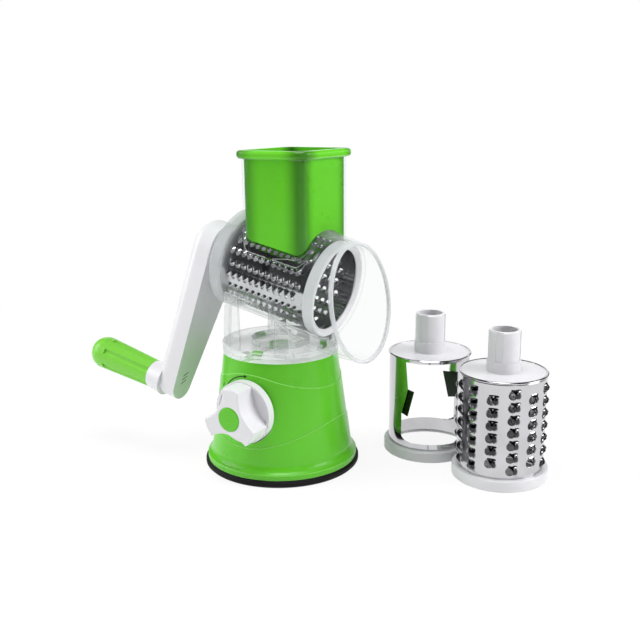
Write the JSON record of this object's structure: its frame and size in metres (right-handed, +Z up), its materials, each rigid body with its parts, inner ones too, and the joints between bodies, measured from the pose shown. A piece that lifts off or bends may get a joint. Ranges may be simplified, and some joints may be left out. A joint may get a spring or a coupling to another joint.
{
  "type": "rotary cabbage shredder",
  "caption": "Hand cranked rotary shredder on a suction foot: sloping drum in a clear housing, feed chute with pusher, crank, suction knob, and spare drums beside it.",
  "frame": {"origin": "centre of the suction foot's underside, on the table", "axes": "+Z up, +X towards the drum's mouth, the crank at -X and the suction knob's front at -Y"},
  "size_m": [0.3715, 0.1895, 0.2505],
  "materials": {
    "green_plastic": "gloss",
    "clear_plastic": "clear gloss",
    "white_plastic": "satin",
    "stainless": "polished",
    "steel": "satin",
    "rubber": "matt"
  },
  "bodies": {
    "base": {"base_shell": "green_plastic", "suction_pad": "rubber", "base_plate": "white_plastic", "base_plate_screws": "steel", "pad_spring": "steel", "shredder_cylinder": "stainless", "shredder_ring": "white_plastic", "shredder_cap": "white_plastic", "slicer_cylinder": "stainless", "slicer_blades": "stainless", "slicer_ring": "white_plastic", "slicer_cap": "white_plastic"},
    "knob": {"suction_knob": "white_plastic", "knob_cap": "green_plastic", "knob_screw": "steel", "cam_shaft": "white_plastic"},
    "rod": {"pull_rod": "steel"},
    "housing": {"housing_pedestal": "clear_plastic", "housing_barrel": "clear_plastic", "housing_mouth": "clear_plastic", "housing_chute": "clear_plastic"},
    "pusher": {"pusher": "green_plastic"},
    "crank": {"drum_cylinder": "stainless", "drum_ring": "white_plastic", "drum_cap": "white_plastic", "crank_arm": "white_plastic", "crank_cover": "white_plastic", "grip_axle": "steel"},
    "grip": {"grip": "green_plastic"}
  },
  "joints": [
    {"name": "housing_twist", "type": "hinge", "parent": "base", "child": "housing", "pos_m": [0, 0, 0.0934], "axis": [0, 0, 1], "range_deg": [0, 18]},
    {"name": "crank_turn", "type": "hinge", "parent": "housing", "child": "crank", "pos_m": [0.053, 0, 0.1456], "axis": [-0.9779, 0, 0.2089], "continuous": true},
    {"name": "grip_spin", "type": "hinge", "parent": "crank", "child": "grip", "pos_m": [-0.12657, -0.03508, 0.0709], "axis": [-0.9779, 0, 0.2089], "continuous": true},
    {"name": "pusher_slide", "type": "slide", "parent": "housing", "child": "pusher", "axis": [0, 0, 1], "range_m": [0, 0.06]},
    {"name": "knob_turn", "type": "hinge", "parent": "base", "child": "knob", "pos_m": [0, 0, 0.0556], "axis": [0, 1, 0], "range_deg": [0, 90]},
    {"name": "rod_lift", "type": "slide", "parent": "base", "child": "rod", "axis": [0, 0, 1], "range_m": [0, 0.003], "deforming": ["pad_spring"]}
  ],
  "couplings": [
    {"joint": "rod_lift", "follows": "knob_turn", "m_per_rad": 0.0019}
  ]
}
